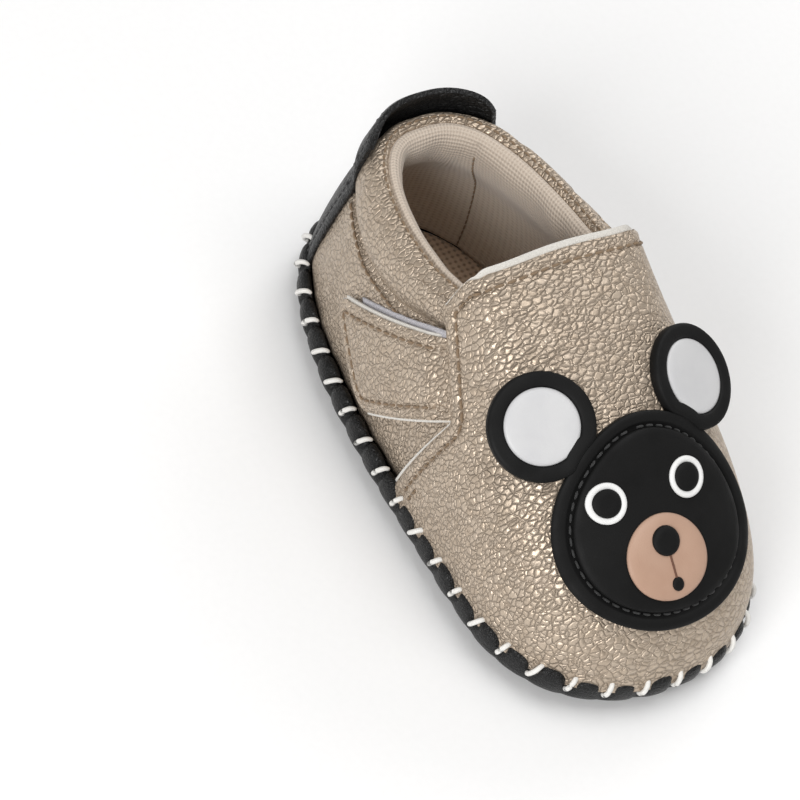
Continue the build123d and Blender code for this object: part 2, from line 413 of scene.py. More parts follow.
def build_footbed():
    count = 200
    inset = (sole_half_length * MM - footbed_high.x) / MM + 1.0
    top = footbed_high.z / MM
    base = footbed_low.z / MM
    # Rings as (further inset, height), from under the edge, over it and in to the middle
    rings = [(1.2, base), (0.2, base + 0.4), (0, (base + top) / 2), (0.3, top - 0.5), (1.0, top - 0.1)]
    rings += [(2.2, top), (6, top - 0.2), (12, top - 0.5), (18, top - 0.7), (23, top - 0.8)]
    layers = [np.column_stack([sole_ring(inset + more, count), np.full(count, z)]) for more, z in rings]
    points = np.stack(layers, 1)
    flat = points.reshape(-1, 3)
    faces = [f[::-1] for f in grid_faces(count, len(rings), wrap=True)]
    faces.append(tuple(range(len(rings) - 1, count * len(rings), len(rings))))
    faces.append(tuple(range(0, count * len(rings), len(rings)))[::-1])
    piece = make_mesh("footbed_sock", flat, faces, tan_mesh)
    add_pattern(piece, flat[:, 0], flat[:, 1])
    return piece


footbed = build_footbed()
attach(footbed, "root")
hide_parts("footbed")

# ---------------------------------------------------------------- quarters
# Two side panels of champagne imitation leather, embossed with a pebbled grain. They meet at
# the back seam under the heel patch, and run up under the collar and forward under the vamp.

# Level cuts of the foot form: height, heel end, toe end, half width, widest x, two powers
LEVELS = np.array([
    (6.0, -60.0, 59.4, 27.6, 32.0, 2.75, 2.15),
    (14.0, -59.5, 57.6, 27.8, 27.0, 2.7, 2.3),
    (24.0, -58.2, 49.6, 26.6, 15.0, 2.6, 2.4),
    (34.0, -56.2, 35.5, 23.8, 3.0, 2.6, 2.4),
    (44.0, -54.2, 20.0, 20.4, -8.0, 2.6, 2.5),
    (51.0, -52.8, 5.5, 17.9, -16.0, 2.6, 2.8),
    (55.5, -52.0, -6.5, 16.2, -22.0, 2.6, 3.0),
])
LEVEL_SLOPES = np.array([np.gradient(LEVELS[:, k], LEVELS[:, 0]) for k in range(LEVELS.shape[1])]).T


def level(z):
    """The six values of the level cut at height z, smooth between the table's rows."""
    z = np.asarray(z, float)
    i = np.clip(np.searchsorted(LEVELS[:, 0], z) - 1, 0, len(LEVELS) - 2)
    gap = LEVELS[i + 1, 0] - LEVELS[i, 0]
    t = (z - LEVELS[i, 0]) / gap
    inside = np.clip(t, 0, 1)
    h = [2 * inside**3 - 3 * inside**2 + 1, inside**3 - 2 * inside**2 + inside]
    h += [-2 * inside**3 + 3 * inside**2, inside**3 - inside**2]
    values = []
    for k in range(1, LEVELS.shape[1]):
        value = h[0] * LEVELS[i, k] + h[1] * gap * LEVEL_SLOPES[i, k]
        value += h[2] * LEVELS[i + 1, k] + h[3] * gap * LEVEL_SLOPES[i + 1, k]
        values.append(value + (t - inside) * gap * LEVEL_SLOPES[i + (t > 1), k])
    return values


even_theta = np.linspace(0, np.pi, 2001)
even_x, even_y = egg(even_theta, *level(np.full(even_theta.shape, 22.0)))
even_run = distance_along(np.stack([even_x, even_y], 1))
even_run /= even_run[-1]


def on_form(s, z):
    """A point of the bare foot form: s is 0 at the toe and +1 or -1 at the heel, + on the left."""
    s = np.asarray(s, float)
    theta = np.interp(np.abs(s), even_run, even_theta) * np.where(s < 0, -1, 1)
    x, y = egg(theta, *level(z))
    return np.stack(np.broadcast_arrays(x, y, np.asarray(z, float)), -1)


def form_normal(s, z):
    """The outward unit normal of the foot form."""
    step = 1e-3
    along = on_form(np.asarray(s) + step, z) - on_form(np.asarray(s) - step, z)
    up = on_form(s, np.asarray(z) + 0.1) - on_form(s, np.asarray(z) - 0.1)
    normal = np.cross(along, up)
    normal /= np.maximum(np.linalg.norm(normal, axis=-1), 1e-9)[..., None]
    return normal


def form_point(s, z, out):
    """A point a distance out from the foot form."""
    return on_form(s, z) + form_normal(s, z) * np.asarray(out)[..., None]


def side_point(x, z, out, side):
    """The form's point at a given x and z on one side (+1 left, -1 right), moved out."""

    def bare(x, z):
        heel, toe, half, wide, heel_power, toe_power = level(z)
        power = np.where(x >= wide, toe_power, heel_power)
        run = np.where(x >= wide, toe - wide, wide - heel)
        y = half * np.clip(1 - (np.abs(x - wide) / run) ** power, 0, 1) ** (1 / power)
        return np.stack(np.broadcast_arrays(x, side * y, z), -1)

    along = bare(x + 0.2, z) - bare(x - 0.2, z)
    up = bare(x, z + 0.2) - bare(x, z - 0.2)
    normal = np.cross(up, along) * side
    normal /= np.linalg.norm(normal, axis=-1)[..., None]
    return bare(x, z) + normal * np.asarray(out)[..., None]


# The collar's seam and its top line, as heights over x
SEAM_X = [-62.0, -47.0, -33.0, -20.0, -9.0, 1.0, 14.0]
SEAM_Z = [34.4, 34.2, 32.8, 35.2, 40.5, 43.5, 44.0]
TOP_X = [-62.0, -52.0, -42.0, -30.0, -18.0, -9.0, 0.0]
TOP_Z = [44.2, 44.2, 44.3, 44.8, 46.1, 48.3, 50.5]


def smooth_curve(x, xs, zs):
    """A soft curve over given heights."""
    dense = np.linspace(xs[0], xs[-1], 400)
    rough = np.interp(dense, xs, zs)
    kernel = np.hanning(41)
    kernel /= kernel.sum()
    soft = np.convolve(np.pad(rough, 20, mode="edge"), kernel, mode="valid")
    return np.interp(x, dense, soft)


def height_where(s, low, high, limit):
    """For each s, the first height where the form's x and z pass a limit function."""
    z = np.linspace(low, high, 500)
    points = on_form(np.asarray(s)[:, None], z[None, :])
    passed = limit(points[..., 0], points[..., 2]) <= 0
    first = np.where(passed.any(1), passed.argmax(1), len(z) - 1)
    before = np.clip(first - 1, 0, None)
    rows = np.arange(len(first))
    a = limit(points[rows, before, 0], z[before])
    b = limit(points[rows, first, 0], z[first])
    share = np.where(np.abs(a - b) > 1e-9, a / np.where(np.abs(a - b) > 1e-9, a - b, 1), 0)
    return z[before] + np.clip(share, 0, 1) * (z[first] - z[before])


def thicken(piece, thickness, edge):
    """Gives a sheet its thickness inward, with softly rounded cut edges."""
    solid = piece.modifiers.new("thickness", "SOLIDIFY")
    solid.thickness = thickness * MM
    solid.offset = -1
    solid.use_even_offset = False
    if edge:
        bevel = piece.modifiers.new("edge", "BEVEL")
        bevel.width = edge * MM
        bevel.segments = 2
        bevel.limit_method = "ANGLE"
        bevel.angle_limit = math.radians(50)


def grid_piece(name, points, material, thickness, edge=0.25, flip=False):
    """A sheet from a grid of points, with a pattern map and its thickness inward."""
    rows, columns = points.shape[:2]
    faces = grid_faces(rows, columns)
    if flip:
        faces = [face[::-1] for face in faces]
    piece = make_mesh(name, points.reshape(-1, 3), faces, material)
    u = distance_along(points[:, columns // 2])
    v = distance_along(points[rows // 2])
    add_pattern(piece, *np.meshgrid(u, v, indexing="ij"))
    thicken(piece, thickness, edge)
    return piece


champagne = leather_material(
    "champagne_leather", (0.50, 0.405, 0.31), (0.16, 0.115, 0.08), (0.80, 0.71, 0.61),
    1.28, 0.24, (0.44, 0.34), 0.60, (1.2, 0.78, 1.0),
)
quarter_low = 6.3
quarter_front_s = 0.33
seam_gap = 0.002


def seam_limit(x, z):
    return smooth_curve(x, SEAM_X, SEAM_Z) - z


def build_quarter(side, sign):
    s = np.sort(sign * np.linspace(quarter_front_s, 1 - seam_gap, 150))[:, None]
    top = height_where(s[:, 0], quarter_low, 46.0, seam_limit)
    share = np.linspace(0, 1, 46)[None, :]
    z = quarter_low + (top[:, None] - quarter_low) * share
    sunk = 1.0 * np.exp(-(((1 - share) / 0.05) ** 2)) + 0.5 * np.exp(-((share / 0.06) ** 2))
    exposed = np.clip((np.abs(s) - 0.40) / 0.06, 0, 1)
    puff = exposed * (0.15 * np.sin(np.abs(s) * 40 + z * 0.35) * (1 - share) + 0.1) - sunk
    points = form_point(np.broadcast_to(s, z.shape), z, puff)
    piece = grid_piece(f"quarter_{side}_leather", points, champagne, 1.0)
    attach(piece, "root")
    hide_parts(f"quarter_{side}")


for side, sign in (("left", 1), ("right", -1)):
    build_quarter(side, sign)

# ---------------------------------------------------------------- stitching
# Topstitching is twisted thread, brown-gold on the gold leather and black on the black. Every
# seam has the same lockstitch: short, slightly sunk stitches with rounded ends.


def thread_material(name, dark, light, size):
    """Twisted thread with fine strands."""
    return fibre_material(name, dark, light, size, 0.12, 0.6, 0.4, 0.2, 2.0, 0.7)


brown_thread = thread_material("brown_thread", (0.13, 0.082, 0.045), (0.34, 0.24, 0.15), 0.2)
black_thread = thread_material("black_thread", (0.006, 0.006, 0.006), (0.05, 0.05, 0.05), 0.2)


def along_line(line, distance):
    """Points at given distances along a polyline."""
    run = distance_along(line)
    return np.stack([np.interp(distance, run, line[:, k]) for k in range(3)], -1)


def tube(path, radii, sides=8):
    """Points and faces of a closed tube along a short path, with a radius at each point."""
    tangent = np.gradient(path, axis=0)
    tangent /= np.linalg.norm(tangent, axis=1)[:, None]
    helper = np.where(np.abs(tangent[:, 2:3]) > 0.9, [[1.0, 0, 0]], [[0, 0, 1.0]])
    side = np.cross(tangent, helper)
    side /= np.linalg.norm(side, axis=1)[:, None]
    other = np.cross(tangent, side)
    angle = (np.arange(sides) / sides * 2 * np.pi)[None, :, None]
    ring = np.cos(angle) * side[:, None, :] + np.sin(angle) * other[:, None, :]
    points = path[:, None, :] + ring * radii[:, None, None]
    faces = []
    for i in range(len(path) - 1):
        for j in range(sides):
            a = i * sides + j
            b = i * sides + (j + 1) % sides
            faces.append((a, b, b + sides, a + sides))
    faces.append(tuple(range(sides))[::-1])
    faces.append(tuple(range((len(path) - 1) * sides, len(path) * sides)))
    return points.reshape(-1, 3), faces


def join_tubes(name, tubes, material):
    """One object from many tubes."""
    points = []
    faces = []
    for tube_points, tube_faces in tubes:
        first = sum(len(p) for p in points)
        points.append(tube_points)
        faces += [tuple(first + i for i in face) for face in tube_faces]
    return make_mesh(name, np.concatenate(points), faces, material)


def topstitch(name, line, normals, material, pitch, length, radius, lift=0.02):
    """Short stitches along a line on a surface; each dips at its ends."""
    run = distance_along(line)
    tubes = []
    for middle in np.arange(pitch / 2, run[-1] - pitch / 2, pitch):
        distance = middle + np.linspace(-length / 2, length / 2, 7)
        path = along_line(line, distance)
        normal = np.stack([np.interp(distance, run, normals[:, k]) for k in range(3)], -1)
        arch = np.array([-0.30, -0.06, 0.05, 0.08, 0.05, -0.06, -0.30])
        path = path + normal * (arch + lift)[:, None]
        radii = radius * np.array([0.55, 0.9, 1.0, 1.0, 1.0, 0.9, 0.55])
        tubes.append(tube(path, radii))
    return join_tubes(name, tubes, material)


# ---------------------------------------------------------------- whip stitches
# Thick white waxed thread joins the pan to the upper. It is sewn by hand: each stitch leaves
# the pan's wall, goes over the rim and into the upper, and leans a little its own way.
white_thread = thread_material("white_thread", (0.72, 0.70, 0.66), (0.93, 0.92, 0.89), 0.3)


def whip_stitches():
    fine_steps = 40
    count = stitch_count * fine_steps
    outer = sole_ring(0.0, count)
    tangent = np.roll(outer, -1, 0) - np.roll(outer, 1, 0)
    tangent /= np.linalg.norm(tangent, axis=1)[:, None]
    outward = np.stack([tangent[:, 1], -tangent[:, 0]], 1)
    # One stitch's route as (distance out, height, share of the slant)
    route = [
        (-1.1, 6.0, -0.5), (-0.3, 6.4, -0.42), (-0.05, 7.2, -0.2), (-0.25, 8.3, 0.1),
        (-0.9, 9.1, 0.32), (-1.7, 9.3, 0.45), (-2.4, 8.9, 0.55),
    ]
    rng = np.random.default_rng(11)
    tubes = []
    for i in range(stitch_count):
        k = i * fine_steps
        slant = 1.8 + rng.uniform(-0.6, 0.6)
        path = []
        for out, z, share in route:
            flat = outer[k] + outward[k] * out + tangent[k] * slant * share
            path.append((flat[0], flat[1], z))
        path = np.array(path)
        dense = np.linspace(0, 1, 15)
        share = np.linspace(0, 1, len(path))
        fine = np.stack([np.interp(dense, share, path[:, c]) for c in range(3)], -1)
        fine[1:-1] = (fine[:-2] + fine[1:-1] * 2 + fine[2:]) / 4
        radii = 0.52 * np.clip(np.sin(np.pi * (dense * 0.9 + 0.05)) ** 0.25, 0.5, 1)
        tubes.append(tube(fine, radii, 10))
    return join_tubes("sole_whip_stitches", tubes, white_thread)


whip = whip_stitches()
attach(whip, "root")
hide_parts("whip_stitches")

# ---------------------------------------------------------------- lining
# Cream pique lines the inside: a padded roll at the collar's inner edge, then a flat panel
# down to the footbed. Its two seams by the heel are sewn with brown thread.
collar_front_x = -3.0
around = 260
lining_seam_turn = 0.22


def collar_lines(turn):
    """The form's s and the heights of the collar's seam and top, for each turn. Turn runs along
    the collar from -1 (right front) through 0 (heel) to 1 (left front)."""
    s = np.linspace(0.1, 1, 2000)
    front = s[np.argmin(np.abs(on_form(s, 48.0)[:, 0] - collar_front_x))]
    s = np.where(turn < 0, -1, 1) * (1 - np.abs(turn) * (1 - front))
    seam = np.full(turn.shape, 47.0)
    top = np.full(turn.shape, 47.0)
    for _ in range(12):
        seam = smooth_curve(on_form(s, seam)[:, 0], SEAM_X, SEAM_Z)
        top = smooth_curve(on_form(s, top)[:, 0], TOP_X, TOP_Z)
    return s, seam, top


def ease(t):
    """A soft step from 0 to 1 as t goes from 0 to 1."""
    t = np.clip(t, 0, 1)
    return t * t * (3 - 2 * t)


def spline(values, count):
    """A smooth run of count values through the given ones, along the last axis."""
    values = np.asarray(values)
    t = np.linspace(0, values.shape[-1] - 1, count)
    i = np.clip(t.astype(int), 0, values.shape[-1] - 2)
    f = t - i
    padded = np.concatenate([values[..., :1], values, values[..., -1:]], -1)
    a, b, c, d = (padded[..., i + k] for k in range(4))
    return b + 0.5 * f * (c - a + f * (2 * a - 5 * b + 4 * c - d + f * (3 * (b - c) + d - a)))


def swept_collar(name, stations, count, material, ripple):
    """A strip swept along the collar. stations(seam, top, front) gives lists of out and height,
    and its front goes from 0 at the collar's two front ends to 1 along it."""
    turn = np.linspace(-1, 1, around)
    s, seam, top = collar_lines(turn)
    out, height = stations(seam, top, ease((1 - np.abs(turn)) / 0.10))
    out = spline(np.stack(out, -1), count)
    height = spline(np.stack(height, -1), count)
    share = np.linspace(0, 1, count)[None, :]
    out = out + ripple(turn[:, None], share)
    points = form_point(np.broadcast_to(s[:, None], height.shape), height, out)
    faces = [face[::-1] for face in grid_faces(around, count)]
    piece = make_mesh(name, points.reshape(-1, 3), faces, material)
    run = distance_along(points[:, 3])
    down = distance_along(points[around // 2])
    add_pattern(piece, *np.meshgrid(run, down, indexing="ij"))
    return piece, points


def lining_stations(seam, top, front):
    full = np.ones_like(top)
    out = [-2.5 * full, -2.9 * full, -3.4 - 0.3 * front, -3.6 - 1.6 * front, -3.6 - 2.9 * front]
    out += [-3.4 - 3.4 * front, -3.2 - 3.0 * front, -3.1 - 1.6 * front, -3.1 * full]
    out += [-3.0 * full, -3.0 * full, -3.1 * full]
    height = [top - 1.6, top - 0.4, top + 0.1, top - 0.5, top - 2.6, top - 5.8, top - 9.4, top - 13.2]
    height += [top - 18.0, 17.0 * full, 11.0 * full, 6.4 * full]
    return out, height


def lining_ripple(turn, share):
    fold = np.sin(turn * 31 + 1.3 * np.sin(turn * 9)) * np.exp(-(((share - 0.42) / 0.12) ** 2))
    seam = np.exp(-(((np.abs(turn) - lining_seam_turn) / 0.012) ** 2)) * (share > 0.3)
    return 0.22 * fold + 0.25 * seam


lining, lining_points = swept_collar("collar_lining_roll", lining_stations, 64, cream_pique, lining_ripple)
thicken(lining, 0.5, 0)
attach(lining, "root")
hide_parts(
    "collar_lining", "quarter_lining_left", "quarter_lining_right",
    "collar_foam_left", "collar_foam_right",
)


def surface_normals(points):
    """Unit normals of a grid of points, pointing like cross(first axis, second axis)."""
    normal = np.cross(np.gradient(points, axis=0), np.gradient(points, axis=1))
    return normal / np.maximum(np.linalg.norm(normal, axis=-1), 1e-9)[..., None]


lining_normals = -surface_normals(lining_points)
for side, sign in (("left", 1), ("right", -1)):
    column = int(round((0.5 + 0.5 * lining_seam_turn * sign) * (around - 1)))
    seam = topstitch(
        f"lining_seam_{side}", lining_points[column, 26:], lining_normals[column, 26:], brown_thread,
        1.6, 1.4, 0.2, 0.15,
    )
    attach(seam, "root")

# ---------------------------------------------------------------- collar
# A band of champagne leather over foam. It is sewn to the quarters in a groove, swells, rolls
# over the top line and is sewn to the lining inside. It goes flat under the tongue.


def collar_stations(seam, top, front):
    full = np.ones_like(top)
    back = 1 - np.clip((np.abs(np.linspace(-1, 1, around)) - 0.10) / 0.15, 0, 1)
    puff = front * (1 - 0.55 * back)
    out = [-1.4 * full, -0.8 + 0.7 * puff, -0.5 + 1.6 * puff, -0.4 + 2.0 * puff, -0.4 + 1.9 * puff]
    out += [-0.5 + 1.4 * puff, -0.7 + 0.8 * puff, -1.2 * full, -2.2 * full, -2.9 * full, -3.1 * full]
    height = [seam - 0.4, seam + 0.5, seam + (top - seam) * 0.22, seam + (top - seam) * 0.45]
    height += [seam + (top - seam) * 0.70, top - 1.8, top - 0.6, top - 0.1, top - 0.2, top - 0.9, top - 2.2]
    return out, height


def collar_ripple(turn, share):
    rng = np.random.default_rng(5)
    creases = 0
    for _ in range(16):
        centre = rng.uniform(-0.95, 0.95)
        width = rng.uniform(0.012, 0.035)
        lean = rng.uniform(-0.06, 0.06)
        depth = rng.uniform(0.08, 0.30)
        creases = creases - depth * np.exp(-(((turn - centre - lean * share) / width) ** 2))
    return creases * np.sin(np.pi * np.clip(share * 1.5, 0, 1)) ** 0.7


collar, collar_points = swept_collar("collar_band", collar_stations, 56, champagne, collar_ripple)
thicken(collar, 0.6, 0)
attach(collar, "root")
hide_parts("collar_cover")
collar_normals = -surface_normals(collar_points)


def seam_line(turn_low, turn_high):
    """A line round the quarters, just below the collar's seam, with its normals."""
    s, seam, _ = collar_lines(np.linspace(turn_low, turn_high, 300))
    z = seam - 1.7
    return form_point(s, z, np.full(z.shape, 0.12)), form_normal(s, z)


for side, low, high in (("left", lining_seam_turn, 0.76), ("right", -0.76, -lining_seam_turn)):
    below = topstitch(f"collar_seam_stitch_{side}", *seam_line(low, high), brown_thread, 2.3, 1.9, 0.30)
    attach(below, "root")
edge_row = 40
inner_edge = topstitch(
    "collar_edge_stitch", collar_points[14:-14, edge_row], collar_normals[14:-14, edge_row], brown_thread,
    1.9, 1.5, 0.24, 0.1,
)
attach(inner_edge, "root")

# ---------------------------------------------------------------- heel patch and pull tab
# A patch of black pebbled leather is sewn over the back seam. The pull tab above it is sewn in
# at the collar seam, lies over the collar and stands up past the top line.
black_leather = leather_material(
    "black_leather", (0.012, 0.012, 0.012), (0.003, 0.003, 0.003), (0.040, 0.040, 0.042),
    1.1, 0.20, (0.46, 0.36), 0.0,
)


def s_at_x(x_of_z, z):
    """The s (0 to 1) where the form meets x_of_z(z), for each height."""
    s = np.linspace(0.02, 1, 1500)
    x = on_form(s[None, :], z[:, None])[..., 0]
    target = np.asarray(x_of_z(z))[:, None]
    return s[np.argmax(x <= target, axis=1)]


def heel_grid(x_of_z, z_low, z_top, columns, rows, out):
    """A grid of points round the heel between the two side edges."""
    u = np.linspace(-1, 1, columns)
    share = np.linspace(0, 1, rows)
    z = z_low + (z_top(u)[:, None] - z_low) * share[None, :]
    heights = np.linspace(z_low - 1, 58, 300)
    edge = np.interp(z, heights, s_at_x(x_of_z, heights))
    s = np.where(u < 0, -1, 1)[:, None] * (1 - np.abs(u)[:, None] * (1 - edge))
    return form_point(s, z, out(u[:, None], z)), s, z


def nearest(points, cloud):
    """For each point, the index of the nearest point of a cloud and the distance to it."""
    index = np.zeros(len(points), int)
    distance = np.zeros(len(points))
    for first in range(0, len(points), 2000):
        part = slice(first, first + 2000)
        gap = np.linalg.norm(points[part, None] - cloud[None], axis=2)
        index[part] = gap.argmin(1)
        distance[part] = gap.min(1)
    return index, distance


def edge_profile(points, boundary, roll, groove_at, groove=0.22):
    """How far to sink each grid point: rolled down at the cut edge, and along a stitch line."""
    distance = nearest(points.reshape(-1, 3), boundary)[1].reshape(points.shape[:2])
    rolled = roll * np.exp(-((distance / 0.55) ** 2))
    return rolled + groove * np.exp(-(((distance - groove_at) / 0.55) ** 2))


def inset_line(boundary, points, normals, inset):
    """A line on the surface at an inset from its boundary, with normals. Sharp corners are cut."""
    flat = points.reshape(-1, 3)
    flat_normals = normals.reshape(-1, 3)
    index, _ = nearest(boundary, flat)
    normal = flat_normals[index]
    tangent = np.gradient(boundary, axis=0)
    tangent /= np.linalg.norm(tangent, axis=1)[:, None]
    inward = np.cross(normal, tangent)
    middle = flat.mean(0)
    inward *= np.sign(((middle - boundary) * inward).sum(1).mean())
    line = boundary + inward * inset
    keep = nearest(line, boundary)[1] > inset - 0.12
    line = line[keep]
    index, _ = nearest(line, flat)
    normal = flat_normals[index]
    line = line - normal * ((line - flat[index]) * normal).sum(1)[:, None]
    return line, normal


def dense_line(points):
    """A polyline resampled every quarter of a millimetre."""
    total = distance_along(points)[-1]
    return along_line(points, np.linspace(0, total, int(total / 0.25) + 2))


def open_boundary(points):
    """The cut edge of a grid of points: both sides and the top, but not the lower edge."""
    return dense_line(np.concatenate([points[0], points[:, -1], points[-1, ::-1]]))


def heel_patch_edge(z):
    return np.interp(z, [9.6, 34.3], [-50.6, -47.2])


def build_heel_patch():
    points, s, z = heel_grid(
        heel_patch_edge, 6.5, lambda u: np.full(u.shape, 34.4), 70, 44, lambda u, z: np.full(z.shape, 1.2)
    )
    normals = form_normal(s, z)
    boundary = open_boundary(points)
    points = points - normals * edge_profile(points, boundary, 0.5, 3.0)[..., None]
    piece = grid_piece("heel_patch_leather", points, black_leather, 1.1, flip=True)
    stitches = []
    for k, side_edge in enumerate((points[0], points[-1])):
        line, line_normals = inset_line(dense_line(side_edge), points, normals, 3.0)
        name = f"heel_patch_stitch_{k}"
        stitches.append(topstitch(name, line, line_normals, black_thread, 2.2, 1.8, 0.24, 0.05))
    return piece, stitches


heel_patch, patch_stitches = build_heel_patch()
for piece in (heel_patch, *patch_stitches):
    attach(piece, "root")
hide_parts("heel_patch")


def heel_tab_edge(z):
    return np.interp(z, [34.9, 43.5, 50.5, 54.2], [-47.2, -47.4, -47.6, -47.8])


def heel_tab_top(u):
    return 48.8 - 0.8 * u**2 - 2.8 * np.abs(u) ** 11


def build_heel_tab():
    def over_collar(u, z):
        return 1.3 + 1.3 * ease((z - 34.4) / 6)

    points, _, _ = heel_grid(heel_tab_edge, 34.2, heel_tab_top, 60, 40, over_collar)
    normals = -surface_normals(points)
    boundary = open_boundary(points)
    points = points - normals * edge_profile(points, boundary, 0.4, 2.2)[..., None]
    piece = grid_piece("heel_tab_leather", points, black_leather, 1.1, flip=True)
    line, line_normals = inset_line(boundary, points, normals, 2.2)
    stitch = topstitch("heel_tab_stitch", line, line_normals, black_thread, 2.0, 1.6, 0.22, 0.05)
    return piece, stitch


heel_tab, tab_stitch = build_heel_tab()
for piece in (heel_tab, tab_stitch):
    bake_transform(piece)
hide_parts("heel_tab")

# ---------------------------------------------------------------- vamp and tongue
# One leather piece covers the toes and runs up into the tongue. White foam and a cream lining
# are sewn to its back, and the foam shows as a thin line at the cut edge.
vamp_low = 6.4


def flap_edge(z):
    return np.interp(z, [8.0, 9.6, 31.6, 33.0, 45.5, 53.0, 60.0], [2.9, 3.0, 7.5, 6.6, -9.0, -8.7, -8.3])


def flap_top(u):
    """The tongue's free end: a low arch with rounded corners."""
    corner = np.clip((np.abs(u) - 0.80) / 0.20, 0, 1)
    return 55.8 - 2.9 * u**2 - 0.9 * (1 - np.sqrt(np.clip(1 - corner**2, 0, 1)))


def flap_grid(out, grow, columns, rows):
    """The vamp and tongue as a grid; grow widens it past the leather's edge."""
    u = np.linspace(-1, 1, columns)
    u = np.sin(u * np.pi / 2 * 0.92) / np.sin(np.pi / 2 * 0.92)
    share = np.linspace(0, 1, rows)
    z = vamp_low + (flap_top(u)[:, None] + grow - vamp_low) * share[None, :]
    heights = np.linspace(7, 60, 500)
    s = np.linspace(0.0, 0.9, 3000)
    x = on_form(s[None, :], heights[:, None])[..., 0]
    edge_s = s[np.argmax(x <= flap_edge(heights)[:, None], axis=1)]
    edge_s = np.where(heights > 53, np.interp(53, heights, edge_s), edge_s)
    kernel = np.hanning(13) / np.hanning(13).sum()
    edge_s = np.convolve(np.pad(edge_s, 6, mode="edge"), kernel, mode="valid")
    half_girth = 48.0
    s_grid = u[:, None] * np.interp(z, heights, edge_s) * (1 + grow / half_girth)
    return form_point(s_grid, z, out(u[:, None], z)), s_grid, z


def flare(u, z):
    """The tongue's free corners stand away from the foot."""
    lifted = np.clip((z - 44) / 12, 0, 1)
    return 2.0 * lifted * lifted * np.abs(u) ** 2


def flap_wrinkle(s, z):
    """Soft hollows in the leather, seeded, at random places and depths."""
    rng = np.random.default_rng(3)
    total = 0
    for _ in range(14):
        centre_s = rng.uniform(-0.4, 0.4)
        centre_z = rng.uniform(12, 40)
        length = rng.uniform(0.02, 0.06)
        height = rng.uniform(1.5, 4.0)
        across = ((s - centre_s) + 0.01 * (z - centre_z)) / length
        total = total - rng.uniform(0.05, 0.22) * np.exp(-(across**2) - ((z - centre_z) / height) ** 2)
    return total


def build_flap_leather():
    points, s, z = flap_grid(lambda u, z: 2.4 + flare(u, z), 0.0, 220, 170)
    normals = form_normal(s, z)
    boundary = open_boundary(points)
    sink = edge_profile(points, boundary, 0.5, 2.8, 0.42)
    points = points + normals * (flap_wrinkle(s, z) - sink)[..., None]
    piece = grid_piece("vamp_tongue_leather", points, champagne, 0.9)
    outer, outer_normals = inset_line(boundary, points, normals, 2.8)
    inner, inner_normals = inset_line(boundary, points, normals, 4.8)
    outer_part = outer[:, 2] > 10.5
    inner_part = (inner[:, 2] < 17) & (inner[:, 2] > 10.5)
    left_part = inner_part & (inner[:, 1] > 0)
    right_part = inner_part & (inner[:, 1] < 0)
    stitches = []
    for name, line, line_normals, part in (
        ("flap_stitch", outer, outer_normals, outer_part),
        ("tack_stitch_left", inner, inner_normals, left_part),
        ("tack_stitch_right", inner, inner_normals, right_part),
    ):
        stitches.append(topstitch(name, line[part], line_normals[part], brown_thread, 2.5, 2.0, 0.32, 0.08))
    return piece, stitches


foam_edge = fibre_material(
    "foam_edge", (0.66, 0.62, 0.55), (0.88, 0.86, 0.82), 0.3, 0.3, 0.9, 0.2, 0.4, 3.0, 0.7
)
flap_leather, flap_stitches = build_flap_leather()
flap_foam_points, _, _ = flap_grid(lambda u, z: 1.46 + flare(u, z), 0.5, 180, 130)
flap_foam = grid_piece("vamp_tongue_foam", flap_foam_points, foam_edge, 0.95, 0.2)
flap_lining_points, _, _ = flap_grid(lambda u, z: 0.5 + flare(u, z), 0.1, 160, 120)
flap_lining = grid_piece("vamp_tongue_lining", flap_lining_points, cream_pique, 0.35, 0)
for piece in (flap_leather, *flap_stitches, flap_foam, flap_lining):
    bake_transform(piece)
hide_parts("vamp", "tongue_leather")
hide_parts("tongue_foam")
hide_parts("tongue_lining", "vamp_lining")

# ---------------------------------------------------------------- straps
# A short leather strap backed with foam is sewn under each edge of the tongue. It crosses the
# quarter, where hook tape under it grips a patch of loop tape. Its free end has round corners.
strap_corners = [(-6.0, 40.6), (5.5, 30.6), (-13.6, 11.8), (-33.0, 23.0)]


def strap_outline(along, across):
    """x and z on the strap: along runs root to tip, across from the top edge to the front one."""
    (ax, az), (bx, bz), (cx, cz), (dx, dz) = strap_corners
    root_x, root_z = ax + (bx - ax) * across, az + (bz - az) * across
    tip_x, tip_z = dx + (cx - dx) * across, dz + (cz - dz) * across
    return root_x + (tip_x - root_x) * along, root_z + (tip_z - root_z) * along


def strap_grid(side, out, grow, columns, rows):
    """A grid over the strap, its root tucked under the tongue's edge and its tip's corners round."""
    length = 31.5
    width = 18.5
    radius = 4.2
    across = np.linspace(-1, 1, rows)[None, :] * (1 + grow / (width / 2))
    corner = np.clip((np.abs(across) * width / 2 - (width / 2 - radius)) / radius, 0, 1)
    reach = 1 + grow / length - radius / length * (1 - np.sqrt(np.clip(1 - corner**2, 0, 1)))
    share = np.linspace(0, 1, columns)[:, None]
    tuck = 0.13
    along = (reach + tuck) * share - tuck
    x, z = strap_outline(along, (across + 1) / 2)
    return side_point(x, z, out(along, across), side)


def strap_out(base):
    """Where a layer of the strap lies: low under the tongue's edge, bowed in the middle."""

    def out(along, across):
        bow = 0.35 * np.sin(np.pi * np.clip(along, 0, 1))
        return base - 1.3 * (1 - ease((along + 0.02) / 0.14)) + bow + 0 * across

    return out


hook_fuzz = fibre_material(
    "hook_fuzz", (0.40, 0.38, 0.42), (0.78, 0.76, 0.80), 0.35, 0.5, 0.95, 0.15, 0.6, 3.0, 0.75
)


